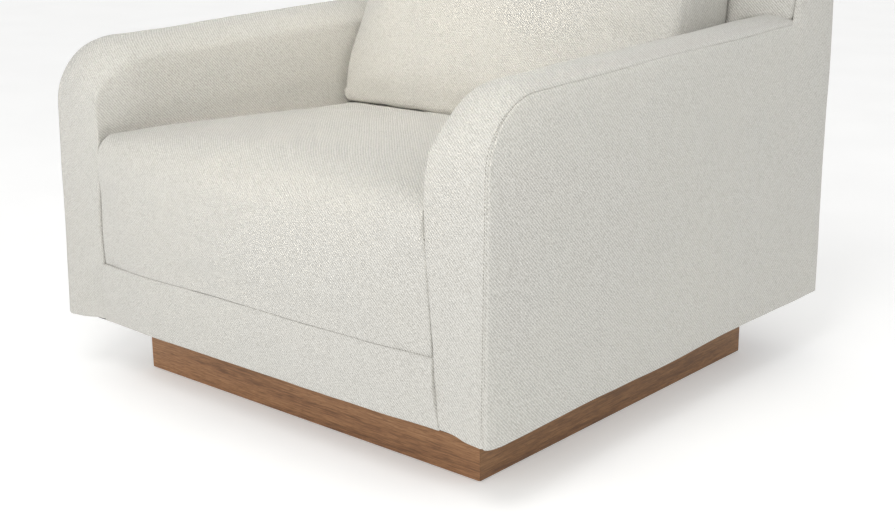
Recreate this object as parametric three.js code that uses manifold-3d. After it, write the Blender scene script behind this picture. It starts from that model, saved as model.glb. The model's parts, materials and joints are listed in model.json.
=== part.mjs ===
// A lounge chair on a recessed wooden plinth: plinth, hardwood and plywood frame, sprung seat deck,
// webbed back, upholstery pads, and a loose seat cushion and back cushion.
// Millimetres. X runs across the chair, the front faces -Y, Z is up, and the floor is at Z = 0.
import * as THREE from 'three';
import { mergeVertices } from 'three/addons/utils/BufferGeometryUtils.js';
import Module from 'manifold-3d';

const wasm = await Module();
wasm.setup();

// ---- Driving dimensions ----

const gap = 0.3; // clearance between touching pieces

const plinth = { width: 780, depth: 758, top: 113, board: 22, block: 70 };
const glide = { radius: 11, height: 2, inset: 40 };
const bolt = { radius: 4, headRadius: 8, headHeight: 5, counterbore: 20, top: 155, inset: 70 };
const dustCover = { thickness: 0.6, margin: 12 };

const body = { width: 980, depth: 964, bottom: 114 };
const rail = { thickness: 25, top: 206 };
const seatBlock = { width: 80, depth: 146, height: 46 };
const spring = { count: 6, pitch: 130, wave: 22, bends: 16, wire: 2 };
const deck = { thickness: 8, top: 218.8 };

const arm = {
  thickness: 116, // from the inner face to the outside panel's face
  cornerRadius: 105, // the big front top corner
  frontLean: 12, // how far the front leans back over the arm's height
  topFront: 584.5,
  topRear: 616,
  padding: 28, // front and top padding
  innerPad: 22,
  innerPly: 12,
  outerPly: 8,
  outerPad: 23,
};
const armPost = { depth: 45, top: 480 };
const armTopRail = { height: 30, front: -340, drop: 4 };

const back = {
  top: 750,
  faceAtSeat: 305, // Y of the inside back at the height below
  seatLevel: 437,
  slope: 0.194, // how far the inside back leans back per unit of height
  frontRadius: 45,
  rearRadius: 34,
  panel: 18.5, // padding and fabric of the outside back
  topPad: 34.5,
};
const backPost = { depth: 60 };
const backRail = { height: 60, thickness: 25 };
const webbing = { width: 60, thickness: 2, spacing: 220 };

const seatCushion = {
  halfWidth: 372.3,
  front: -478,
  topFront: 448,
  topRear: 430,
  noseRadius: 50,
  edgeRadius: 14,
};
const backCushion = {
  halfWidth: 360,
  frontAtSeat: 96,
  frontAtTop: 208,
  top: 785,
  edgeRadius: 25,
  lift: 0.8, // clearance above the seat cushion
};

// ---- Materials ----

const material = (color, roughness, metalness = 0) =>
  new THREE.MeshStandardMaterial({ color, roughness, metalness });

const fabric = material(0xd8d7cf, 0.95);
const walnut = material(0x7a5538, 0.55);
const hardwood = material(0xc9a878, 0.75);
const plywood = material(0xd2b48c, 0.8);
const steel = material(0x8d9196, 0.4, 0.9);
const felt = material(0x4a4744, 0.95);
const strap = material(0x3d3a36, 0.9);
const cambric = material(0x2b2b2c, 0.95);

// ---- Shape helpers ----

const chair = new THREE.Group();

function addPart(name, geometry, finish) {
  const mesh = new THREE.Mesh(geometry, finish);
  mesh.name = name;
  chair.add(mesh);
}

// A box from its low and high limits on each axis.
function block([x0, x1], [y0, y1], [z0, z1]) {
  const geometry = new THREE.BoxGeometry(x1 - x0, y1 - y0, z1 - z0);
  return geometry.translate((x0 + x1) / 2, (y0 + y1) / 2, (z0 + z1) / 2);
}

// A closed outline through [a, b, radius] corners, each rounded by a true arc.
function roundedOutline(corners) {
  const shape = new THREE.Shape();
  corners.forEach(([a, b, radius], index) => {
    const corner = new THREE.Vector2(a, b);
    const before = corners.at(index - 1);
    const after = corners[(index + 1) % corners.length];
    const toBefore = new THREE.Vector2(before[0] - a, before[1] - b).normalize();
    const toAfter = new THREE.Vector2(after[0] - a, after[1] - b).normalize();
    if (radius <= 0) {
      if (index === 0) shape.moveTo(a, b);
      else shape.lineTo(a, b);
      return;
    }
    const halfAngle = Math.acos(toBefore.dot(toAfter)) / 2;
    const centre = toBefore.clone().add(toAfter).setLength(radius / Math.sin(halfAngle)).add(corner);
    const start = toBefore.clone().setLength(radius / Math.tan(halfAngle)).add(corner).sub(centre);
    const end = toAfter.clone().setLength(radius / Math.tan(halfAngle)).add(corner).sub(centre);
    const clockwise = toBefore.cross(toAfter) > 0;
    shape.absarc(centre.x, centre.y, radius, start.angle(), end.angle(), clockwise);
  });
  shape.closePath();
  return shape;
}

// A Y-Z outline pushed across the chair from x0 to x1, with its side edges rounded by `edge`.
function acrossChair(shape, [x0, x1], edge = 0) {
  const geometry = new THREE.ExtrudeGeometry(shape, {
    depth: x1 - x0 - 2 * edge,
    curveSegments: 8,
    bevelEnabled: edge > 0,
    bevelThickness: edge,
    bevelSize: edge,
    bevelOffset: -edge,
    bevelSegments: 3,
  });
  const axes = new THREE.Matrix4().makeBasis(
    new THREE.Vector3(0, 1, 0),
    new THREE.Vector3(0, 0, 1),
    new THREE.Vector3(1, 0, 0),
  );
  return geometry.applyMatrix4(axes).translate(x0 + edge, 0, 0);
}

// An X-Y outline raised from z0 to z1.
function raised(points, [z0, z1]) {
  const shape = new THREE.Shape(points.map(([x, y]) => new THREE.Vector2(x, y)));
  return new THREE.ExtrudeGeometry(shape, { depth: z1 - z0, bevelEnabled: false }).translate(0, 0, z0);
}

function uprightCylinder(radius, [z0, z1], x, y, sides = 16) {
  const geometry = new THREE.CylinderGeometry(radius, radius, z1 - z0, sides);
  return geometry.rotateX(Math.PI / 2).translate(x, y, (z0 + z1) / 2);
}

function toSolid(geometry) {
  const plain = geometry.clone();
  plain.deleteAttribute('normal');
  plain.deleteAttribute('uv');
  const merged = mergeVertices(plain, 1e-4);
  const vertProperties = new Float32Array(merged.attributes.position.array);
  const triVerts = new Uint32Array(merged.index.array);
  return new wasm.Manifold(new wasm.Mesh({ numProp: 3, vertProperties, triVerts }));
}

function cutAway(geometry, cutters) {
  const solid = cutters.reduce((rest, cutter) => rest.subtract(toSolid(cutter)), toSolid(geometry));
  const mesh = solid.getMesh();
  const result = new THREE.BufferGeometry();
  result.setAttribute('position', new THREE.BufferAttribute(mesh.vertProperties, 3));
  result.setIndex(new THREE.BufferAttribute(mesh.triVerts, 1));
  result.computeVertexNormals();
  return result;
}

const range = (a, b) => [Math.min(a, b), Math.max(a, b)];
const sides = [['left', -1], ['right', 1]];
const corners = [
  ['front_left', -1, -1],
  ['front_right', 1, -1],
  ['rear_left', -1, 1],
  ['rear_right', 1, 1],
];

// ---- Levels worked out from the dimensions above ----

const halfWidth = body.width / 2;
const front = -body.depth / 2;
const rear = body.depth / 2;
const armInner = halfWidth - arm.thickness;
const frameBottom = body.bottom + gap;
const backFace = (z) => back.faceAtSeat + (z - back.seatLevel) * back.slope;
const armFront = (z) => front + (arm.frontLean * (z - frameBottom)) / (arm.topFront - frameBottom);
const armTop = (y) => {
  const cornerY = front + arm.frontLean;
  const rearY = backFace(arm.topRear);
  return arm.topFront + ((arm.topRear - arm.topFront) * (y - cornerY)) / (rearY - cornerY);
};

// ---- Plinth: mitred boards, corner blocks, brace, glides and bolts ----

const plinthX = plinth.width / 2;
const plinthY = plinth.depth / 2;
const plinthInnerX = plinthX - plinth.board;
const plinthInnerY = plinthY - plinth.board;
const plinthZ = [glide.height, plinth.top];

function addPlinthBoards() {
  for (const [name, side] of [['front', -1], ['rear', 1]]) {
    const outline = [
      [-plinthX + gap, side * plinthY],
      [plinthX - gap, side * plinthY],
      [plinthInnerX - gap, side * plinthInnerY],
      [-plinthInnerX + gap, side * plinthInnerY],
    ];
    addPart(`plinth_${name}`, raised(outline, plinthZ), walnut);
  }
  for (const [name, side] of sides) {
    const outline = [
      [side * plinthX, -plinthY],
      [side * plinthX, plinthY],
      [side * plinthInnerX, plinthInnerY],
      [side * plinthInnerX, -plinthInnerY],
    ];
    addPart(`plinth_${name}`, raised(outline, plinthZ), walnut);
  }
  const brace = block(
    [-plinthInnerX + gap, plinthInnerX - gap],
    [-plinth.board / 2, plinth.board / 2],
    [glide.height + 1, plinth.top - 1],
  );
  addPart('plinth_brace', brace, hardwood);
}

function addPlinthCorner(name, sideX, sideY) {
  const boltX = sideX * (plinthX - bolt.inset);
  const boltY = sideY * (plinthY - bolt.inset);
  const outerX = plinthInnerX - gap;
  const outerY = plinthInnerY - gap;
  const corner = block(
    range(sideX * outerX, sideX * (outerX - plinth.block)),
    range(sideY * outerY, sideY * (outerY - plinth.block)),
    [glide.height, plinth.top - gap],
  );
  const headTop = glide.height + bolt.counterbore;
  const holes = [
    uprightCylinder(bolt.radius + gap, [0, plinth.top + 1], boltX, boltY),
    uprightCylinder(bolt.headRadius + 2, [0, headTop], boltX, boltY),
  ];
  addPart(`plinth_block_${name}`, cutAway(corner, holes), hardwood);

  const headBottom = headTop - bolt.headHeight - gap;
  const profile = [
    [0, headBottom],
    [bolt.headRadius, headBottom],
    [bolt.headRadius, headTop - gap],
    [bolt.radius, headTop - gap],
    [bolt.radius, bolt.top],
    [0, bolt.top],
  ].map(([radius, z]) => new THREE.Vector2(radius, z));
  const shank = new THREE.LatheGeometry(profile, 16).rotateX(Math.PI / 2).translate(boltX, boltY, 0);
  addPart(`plinth_bolt_${name}`, shank, steel);

  const glideX = sideX * (plinthX - glide.inset);
  const glideY = sideY * (plinthY - glide.inset);
  const pad = uprightCylinder(glide.radius, [0, glide.height - gap], glideX, glideY, 24);
  addPart(`glide_${name}`, pad, felt);
}

// ---- Seat base: rails, corner blocks, springs, deck and dust cover ----

const railZ = [frameBottom, rail.top];
const sideRailOuter = armInner + arm.innerPad;
const sideRailInner = sideRailOuter - rail.thickness;
const frontRailFront = seatCushion.front + 16;
const frontRailBack = frontRailFront + rail.thickness;
const rearRailBack = rear - back.panel - 1.5;
const rearRailFront = rearRailBack - rail.thickness;

function addSeatRails() {
  const betweenSides = [-sideRailInner + gap, sideRailInner - gap];
  addPart('seat_rail_front', block(betweenSides, [frontRailFront, frontRailBack], railZ), hardwood);
  const rearRail = block([-sideRailOuter, sideRailOuter], [rearRailFront, rearRailBack], railZ);
  addPart('seat_rail_rear', rearRail, hardwood);
  const sideY = [armFront(rail.top) + arm.padding + gap, rearRailFront - gap];
  for (const [name, side] of sides) {
    const sideRail = block(range(side * sideRailInner, side * sideRailOuter), sideY, railZ);
    addPart(`seat_rail_${name}`, sideRail, hardwood);
  }
}

function addSeatBlock(name, sideX, sideY) {
  const outerX = sideRailInner - gap;
  const outerY = sideY < 0 ? frontRailBack + gap : rearRailFront - gap;
  const corner = block(
    range(sideX * outerX, sideX * (outerX - seatBlock.width)),
    range(outerY, outerY - sideY * seatBlock.depth),
    [frameBottom, frameBottom + seatBlock.height],
  );
  const boltX = sideX * (plinthX - bolt.inset);
  const boltY = sideY * (plinthY - bolt.inset);
  const hole = uprightCylinder(bolt.radius + gap, [body.bottom - 1, bolt.top + 10], boltX, boltY);
  addPart(`seat_block_${name}`, cutAway(corner, [hole]), hardwood);
}

// Sinuous wire springs run front to back over the rails.
function addSprings() {
  const start = (frontRailFront + frontRailBack) / 2;
  const end = (rearRailFront + rearRailBack) / 2;
  const level = rail.top + spring.wire + 0.4;
  const wire = new THREE.Shape().absarc(0, 0, spring.wire, 0, 2 * Math.PI);
  for (let index = 0; index < spring.count; index += 1) {
    const middle = (index - (spring.count - 1) / 2) * spring.pitch;
    const swing = Math.sign(middle) * spring.wave;
    const points = [new THREE.Vector3(middle, start, level)];
    for (let bend = 0; bend < spring.bends; bend += 1) {
      const y = start + ((end - start) * (bend + 0.5)) / spring.bends;
      const x = middle + (bend % 2 === 0 ? swing : -swing);
      points.push(new THREE.Vector3(x, y, level));
    }
    points.push(new THREE.Vector3(middle, end, level));
    const path = new THREE.CatmullRomCurve3(points);
    const geometry = new THREE.ExtrudeGeometry(wire, {
      steps: spring.bends * 4,
      curveSegments: 3,
      extrudePath: path,
    });
    addPart(`seat_spring_${index + 1}`, geometry, steel);
  }
}

function addDeck() {
  const padTop = deck.top - deck.thickness - gap;
  const width = [-armInner + gap, armInner - gap];
  const railPad = block(width, [seatCushion.front, frontRailFront - gap], [frameBottom, padTop]);
  addPart('front_rail_cover', railPad, fabric);
  const deckPad = block(width, [seatCushion.front, rearRailFront], [deck.top - deck.thickness, deck.top]);
  addPart('seat_deck_cover', deckPad, fabric);

  const bottom = (plinth.top + body.bottom - dustCover.thickness) / 2;
  const sheet = block(
    [-halfWidth + dustCover.margin, halfWidth - dustCover.margin],
    [front + dustCover.margin, rear - dustCover.margin],
    [bottom, bottom + dustCover.thickness],
  );
  const boltHoles = corners.map(([, sideX, sideY]) =>
    uprightCylinder(
      bolt.radius + gap,
      [plinth.top - 5, body.bottom + 5],
      sideX * (plinthX - bolt.inset),
      sideY * (plinthY - bolt.inset),
    ),
  );
  addPart('dust_cover', cutAway(sheet, boltHoles), cambric);
}

// ---- Arms: plywood sides, post and rail between them, and the pads ----

// The arm's side outline, set in from its front and top faces, ending at rearY.
function armCorners(inset, rearY, bottom) {
  const cornerZ = arm.topFront - inset;
  const cornerY = armFront(cornerZ) + inset;
  return [
    [armFront(bottom) + inset, bottom, 0],
    [cornerY, armTop(cornerY) - inset, arm.cornerRadius - inset],
    [rearY, armTop(rearY) - inset, 0],
    [rearY, bottom, 0],
  ];
}

const frameRear = rear - back.panel - backPost.depth - 1;
const frameInset = arm.padding + gap;
const innerPly = [armInner + arm.innerPad + gap, armInner + arm.innerPad + arm.innerPly];
const outerPadInner = halfWidth - arm.outerPad;
const outerPly = [outerPadInner - gap - arm.outerPly, outerPadInner - gap];
const armCore = [innerPly[1] + gap, outerPly[0] - gap];

// Front padding, corner and top padding in one strip.
function armBandOutline() {
  const outer = armCorners(0, frameRear, frameBottom);
  const inner = armCorners(arm.padding, frameRear, frameBottom);
  return roundedOutline([outer[0], inner[0], inner[1], inner[2], outer[2], outer[1]]);
}

// The whole side of the chair: arm, then the step up to the back.
function sidePanelOutline() {
  return roundedOutline([
    [front, frameBottom, 0],
    [rear, frameBottom, 0],
    [rear, back.top, back.rearRadius],
    [backFace(back.top), back.top, back.frontRadius],
    [backFace(arm.topRear), arm.topRear, 10],
    armCorners(0, rear, frameBottom)[1],
  ]);
}

function addArm(name, side) {
  const across = ([x0, x1]) => range(side * x0, side * x1);
  const plySide = roundedOutline(armCorners(frameInset, frameRear, frameBottom));
  addPart(`arm_inner_ply_${name}`, acrossChair(plySide, across(innerPly)), plywood);
  addPart(`arm_outer_ply_${name}`, acrossChair(plySide, across(outerPly)), plywood);

  const postFront = front + arm.frontLean + frameInset + 2;
  const postY = [postFront, postFront + armPost.depth];
  addPart(`arm_post_${name}`, block(across(armCore), postY, [frameBottom, armPost.top]), hardwood);
  const railTop = armTop(armTopRail.front) - frameInset - armTopRail.drop;
  const topRail = block(
    across(armCore),
    [armTopRail.front, frameRear],
    [railTop - armTopRail.height, railTop],
  );
  addPart(`arm_top_rail_${name}`, topRail, hardwood);

  const innerPad = roundedOutline(armCorners(frameInset, frameRear, rail.top + gap));
  const innerPadX = across([armInner, armInner + arm.innerPad]);
  addPart(`arm_inner_pad_${name}`, acrossChair(innerPad, innerPadX), fabric);
  const bandX = across([armInner, outerPadInner - gap]);
  addPart(`arm_front_and_top_${name}`, acrossChair(armBandOutline(), bandX), fabric);
  const panelX = across([outerPadInner, halfWidth]);
  addPart(`side_panel_${name}`, acrossChair(sidePanelOutline(), panelX), fabric);
}

// ---- Back: posts, rails, webbing and pads ----

const backPostY = [frameRear + gap, frameRear + gap + backPost.depth];
const backFrameTop = back.top - back.topPad - gap;

function addBackFrame() {
  for (const [name, side] of sides) {
    const postX = range(side * armCore[0], side * armCore[1]);
    addPart(`back_post_${name}`, block(postX, backPostY, [frameBottom, backFrameTop]), hardwood);
  }
  const railX = [-armCore[0] + gap, armCore[0] - gap];
  const lowRail = [deck.top + 6, deck.top + 6 + backRail.height];
  addPart('back_rail_lower', block(railX, [rearRailFront, rearRailBack], lowRail), hardwood);
  const highRail = [backFrameTop - backRail.height, backFrameTop];
  addPart('back_rail_top', block(railX, [rearRailFront, rearRailBack], highRail), hardwood);

  const strapY = [rearRailFront - gap - webbing.thickness, rearRailFront - gap];
  const strapZ = [lowRail[0] + 4, highRail[1] - 4];
  ['left', 'middle', 'right'].forEach((name, index) => {
    const x = (index - 1) * webbing.spacing;
    const strapX = [x - webbing.width / 2, x + webbing.width / 2];
    addPart(`back_webbing_${name}`, block(strapX, strapY, strapZ), strap);
  });
}

function addBackPads() {
  const padX = [-outerPadInner + gap, outerPadInner - gap];
  const padBottom = deck.top + gap;
  const padRear = frameRear;
  const insideBack = roundedOutline([
    [backFace(padBottom), padBottom, 0],
    [padRear, padBottom, 0],
    [padRear, backFrameTop + gap, 0],
    [rear, backFrameTop + gap, 0],
    [rear, back.top, back.rearRadius],
    [backFace(back.top), back.top, back.frontRadius],
  ]);
  // The arms pass either side of it, below their tops.
  const armSpace = sides.map(([, side]) =>
    block(
      range(side * (armInner - gap), side * (halfWidth + 1)),
      [front, rear],
      [0, armTop(frameRear) + gap],
    ),
  );
  addPart('inside_back_pad', cutAway(acrossChair(insideBack, padX), armSpace), fabric);
  addPart('outside_back_panel', block(padX, [rear - back.panel, rear], [frameBottom, backFrameTop]), fabric);
}

// ---- Loose cushions ----

function addCushions() {
  const seatX = [-seatCushion.halfWidth, seatCushion.halfWidth];
  const seatBottom = deck.top + gap;
  const clear = 1.3; // to the inside back
  const rearFace = (z) => backFace(z) - clear;
  const rearAtSeat = rearFace(seatCushion.topRear);
  const seat = roundedOutline([
    [seatCushion.front, seatBottom, 18],
    [rearFace(seatBottom), seatBottom, 18],
    [rearAtSeat, seatCushion.topRear, 25],
    [seatCushion.front, seatCushion.topFront, seatCushion.noseRadius],
  ]);
  addPart('seat_cushion', acrossChair(seat, seatX, seatCushion.edgeRadius), fabric);

  const seatSlope = (seatCushion.topRear - seatCushion.topFront) / (rearAtSeat - seatCushion.front);
  const seatTop = (y) => seatCushion.topFront + (y - seatCushion.front) * seatSlope + backCushion.lift;
  const backX = [-backCushion.halfWidth, backCushion.halfWidth];
  const cushion = roundedOutline([
    [backCushion.frontAtSeat, seatTop(backCushion.frontAtSeat), 32],
    [rearAtSeat, seatTop(rearAtSeat), 30],
    [rearFace(backCushion.top), backCushion.top, 50],
    [backCushion.frontAtTop, backCushion.top, 55],
  ]);
  addPart('back_cushion', acrossChair(cushion, backX, backCushion.edgeRadius), fabric);
}

// ---- Assembly ----

addPlinthBoards();
addSeatRails();
for (const [name, sideX, sideY] of corners) {
  addPlinthCorner(name, sideX, sideY);
  addSeatBlock(name, sideX, sideY);
}
addSprings();
addDeck();
for (const [name, side] of sides) addArm(name, side);
addBackFrame();
addBackPads();
addCushions();

export default chair;
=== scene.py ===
import json
import math

import bpy
import numpy as np
from mathutils import Matrix, Vector, noise
from mathutils.kdtree import KDTree


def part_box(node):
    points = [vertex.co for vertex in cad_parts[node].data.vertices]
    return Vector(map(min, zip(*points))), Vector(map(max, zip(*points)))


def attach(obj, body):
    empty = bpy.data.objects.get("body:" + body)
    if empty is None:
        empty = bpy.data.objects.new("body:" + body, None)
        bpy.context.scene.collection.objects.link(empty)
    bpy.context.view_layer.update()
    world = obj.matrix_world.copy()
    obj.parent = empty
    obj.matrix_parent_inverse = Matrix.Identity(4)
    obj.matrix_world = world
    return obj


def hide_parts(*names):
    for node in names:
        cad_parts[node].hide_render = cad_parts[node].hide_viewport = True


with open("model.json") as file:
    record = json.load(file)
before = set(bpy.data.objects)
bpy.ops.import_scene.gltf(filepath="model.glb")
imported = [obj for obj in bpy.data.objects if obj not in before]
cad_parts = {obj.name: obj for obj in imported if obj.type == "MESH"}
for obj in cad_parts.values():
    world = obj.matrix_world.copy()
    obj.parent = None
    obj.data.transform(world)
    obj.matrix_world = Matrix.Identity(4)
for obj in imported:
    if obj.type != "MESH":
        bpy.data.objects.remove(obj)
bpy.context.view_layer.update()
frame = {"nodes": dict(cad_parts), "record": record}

# A lounge chair on a recessed wooden plinth, in metres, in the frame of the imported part: the front
# faces -Y and Z is up.

MILLIMETRE = 0.001

# ---- Camera and light ----

CAMERA_PLACE = (1.5843, -1.8098, 0.8618)
CAMERA_YAW, CAMERA_PITCH, CAMERA_ROLL = 41.23, 15.79, -0.54
CAMERA_LENS, CAMERA_SENSOR = 55.19, 36.0


def aim(yaw, pitch, roll):
    """A camera's turn, from degrees of yaw left of +Y, pitch below the horizon and roll."""
    turn = Matrix.Rotation(math.radians(yaw), 3, "Z")
    turn @= Matrix.Rotation(math.radians(90 - pitch), 3, "X")
    return (turn @ Matrix.Rotation(math.radians(roll), 3, "Z")).to_euler()


def add_camera():
    data = bpy.data.cameras.new("camera")
    data.lens, data.sensor_width = CAMERA_LENS, CAMERA_SENSOR
    camera = bpy.data.objects.new("camera", data)
    camera.location = CAMERA_PLACE
    camera.rotation_euler = aim(CAMERA_YAW, CAMERA_PITCH, CAMERA_ROLL)
    bpy.context.collection.objects.link(camera)
    bpy.context.scene.camera = camera


def add_area_light(name, place, target, size, power, spread=180, colour=(1, 1, 1)):
    data = bpy.data.lights.new(name, "AREA")
    data.color = colour
    data.shape, data.size, data.energy, data.spread = "SQUARE", size, power, math.radians(spread)
    light = bpy.data.objects.new(name, data)
    light.location = place
    light.rotation_euler = (Vector(target) - Vector(place)).to_track_quat("-Z", "Y").to_euler()
    bpy.context.collection.objects.link(light)


def add_world(horizon, zenith, strength):
    """A soft studio surround, whose light fades from the horizon up."""
    world = bpy.data.worlds.new("studio")
    bpy.context.scene.world = world
    world.use_nodes = True
    tree = world.node_tree
    background = tree.nodes["Background"]
    background.inputs["Strength"].default_value = strength
    place = tree.nodes.new("ShaderNodeTexCoord").outputs["Generated"]
    split = tree.nodes.new("ShaderNodeSeparateXYZ")
    tree.links.new(place, split.inputs[0])
    ramp = tree.nodes.new("ShaderNodeValToRGB")
    tree.links.new(split.outputs["Z"], ramp.inputs["Fac"])
    ramp.color_ramp.elements[0].color = (*horizon, 1)
    ramp.color_ramp.elements[1].color = (*zenith, 1)
    tree.links.new(ramp.outputs["Color"], background.inputs["Color"])


# ---- Mesh helpers ----


def link(name, mesh):
    piece = bpy.data.objects.new(name, mesh)
    bpy.context.collection.objects.link(piece)
    return piece


def mesh_from(name, points, faces):
    mesh = bpy.data.meshes.new(name)
    mesh.from_pydata(np.asarray(points).tolist(), [], [list(map(int, face)) for face in faces])
    mesh.validate()
    mesh.shade_smooth()
    return mesh


def points_of(mesh):
    flat = np.empty(len(mesh.vertices) * 3)
    mesh.vertices.foreach_get("co", flat)
    return flat.reshape(-1, 3)


def normals_of(mesh):
    flat = np.empty(len(mesh.vertices) * 3)
    mesh.vertex_normals.foreach_get("vector", flat)
    return flat.reshape(-1, 3)


def move_points(mesh, points):
    mesh.vertices.foreach_set("co", np.asarray(points, float).ravel())
    mesh.update()


def apply_modifiers(piece):
    bpy.context.view_layer.update()
    graph = bpy.context.evaluated_depsgraph_get()
    mesh = bpy.data.meshes.new_from_object(piece.evaluated_get(graph))
    piece.modifiers.clear()
    piece.data = mesh
    mesh.shade_smooth()


def smoothstep(value, start, end):
    t = np.clip((np.asarray(value, float) - start) / (end - start), 0, 1)
    return t * t * (3 - 2 * t)


def unevenness(points, size, seed):
    """Smooth random heights from about -1 to 1, whose hills are about `size` apart."""
    offset = Vector((seed * 7.31, seed * 3.17, seed * 5.93))
    return np.array([noise.noise(Vector(point) / size + offset) for point in points.tolist()]) * 1.6


def roughen(piece, layers, seed):
    """Moves a piece's surface along its normals by layers of (hill size, height)."""
    points, normals = points_of(piece.data), normals_of(piece.data)
    height = sum(
        amount * unevenness(points, size, seed + index)
        for index, (size, amount) in enumerate(layers)
    )
    move_points(piece.data, points + normals * height[:, None])


# ---- Outlines ----


def rounded_outline(corners, step=0.008):
    """A closed outline through (a, b, radius) corners, each an arc, with points about `step` apart."""
    arcs = []
    for index, (a, b, radius) in enumerate(corners):
        corner = np.array([a, b])
        before = np.array(corners[index - 1][:2]) - corner
        after = np.array(corners[(index + 1) % len(corners)][:2]) - corner
        before, after = before / np.linalg.norm(before), after / np.linalg.norm(after)
        if radius <= 0:
            arcs.append(corner[None])
            continue
        half = math.acos(np.clip(before @ after, -1, 1)) / 2
        middle = before + after
        centre = corner + middle / np.linalg.norm(middle) * radius / math.sin(half)
        start, end = (corner + side * radius / math.tan(half) - centre for side in (before, after))
        turn = math.pi - 2 * half
        count = max(6, math.ceil(radius * turn / step))
        sign = 1 if before[0] * after[1] - before[1] * after[0] < 0 else -1
        angles = math.atan2(start[1], start[0]) + sign * turn * np.linspace(0, 1, count + 1)
        arcs.append(centre + radius * np.stack([np.cos(angles), np.sin(angles)], 1))
    outline = []
    for index, arc in enumerate(arcs):
        outline.extend(arc)
        start, end = arc[-1], arcs[(index + 1) % len(arcs)][0]
        count = math.ceil(np.linalg.norm(end - start) / step)
        outline.extend(start + (end - start) * k / count for k in range(1, count))
    return np.array(outline)


def outward(outline):
    """Unit normals to the right of a closed outline's direction of travel."""
    along = np.roll(outline, -1, 0) - np.roll(outline, 1, 0)
    normals = np.stack([along[:, 1], -along[:, 0]], 1)
    return normals / np.linalg.norm(normals, axis=1)[:, None]


RING_SPACING = 1.4  # above 1, the rings of an end face crowd towards its edge


def pillow(
    name,
    outline,
    span,
    edges,
    axes,
    centre=None,
    rings=16,
    walls=8,
    crown=(0, 0),
    reach=0.06,
    swell=None,
):
    """A closed body: a counter-clockwise outline pushed along a third axis, with rounded edges.

    axes names the outline's two axes and then the third one, and span is the body's two ends on it.
    edges are the radii at those ends. crown is how far each end face bulges, over a distance of
    about reach from its edge. swell gives how the outline's points move, from their place on the
    third axis, themselves and their outward normals.
    """
    low, high = span
    centre = outline.mean(0) if centre is None else np.array(centre)
    normals = outward(outline)

    def swollen(at):
        return outline if swell is None else outline + swell(at, outline, normals)

    loops = []
    for radius, bulge, at, sign in ((edges[0], crown[0], low, 1), (edges[1], crown[1], high, -1)):
        part = []
        inner = swollen(at) - normals * radius
        from_centre = np.linalg.norm(inner - centre, axis=1)
        for scale in 1 - np.linspace(1, 0, rings + 1)[1:-1] ** RING_SPACING:
            rise = bulge * (1 - np.exp(-from_centre * (1 - scale) / reach))
            part.append((centre + (inner - centre) * scale, at - sign * rise))
        for angle in np.radians(np.linspace(0, 90, 5)):
            place = at + sign * radius * (1 - math.cos(angle))
            part.append((swollen(place) - normals * radius * (1 - math.sin(angle)), place))
        loops.append(part)
    start, end = loops[0][-1][1], loops[1][-1][1]
    middle = [start + (end - start) * k / walls for k in range(1, walls)]
    ordered = loops[0] + [(swollen(at), at) for at in middle] + loops[1][::-1]
    count = len(outline)
    points = [np.column_stack([loop, np.broadcast_to(at, count)]) for loop, at in ordered]
    poles = [[*centre, low - crown[0]], [*centre, high + crown[1]]]
    local = np.concatenate(points + [np.array(poles)])
    world = np.empty_like(local)
    for source, target in enumerate(axes):
        world[:, "XYZ".index(target)] = local[:, source]
    here = np.arange(count)
    after = np.roll(here, -1)
    faces = []
    for ring in range(len(ordered) - 1):
        a, b = ring * count, (ring + 1) * count
        faces.extend(np.stack([a + here, a + after, b + after, b + here], 1))
    last = (len(ordered) - 1) * count
    first_pole = len(ordered) * count
    faces.extend(np.stack([np.full(count, first_pole), after, here], 1))
    faces.extend(np.stack([np.full(count, first_pole + 1), last + here, last + after], 1))
    return link(name, mesh_from(name, world, faces))


def recalculate_outside(piece):
    """Turns a closed mesh's faces outwards."""
    mesh = piece.data
    mesh.calc_loop_triangles()
    points = points_of(mesh)
    corners = np.array([triangle.vertices[:] for triangle in mesh.loop_triangles])
    a, b, c = (points[corners[:, k]] for k in range(3))
    if np.einsum("ij,ij->i", a, np.cross(b, c)).sum() < 0:
        mesh.flip_normals()


# ---- Materials ----


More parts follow.
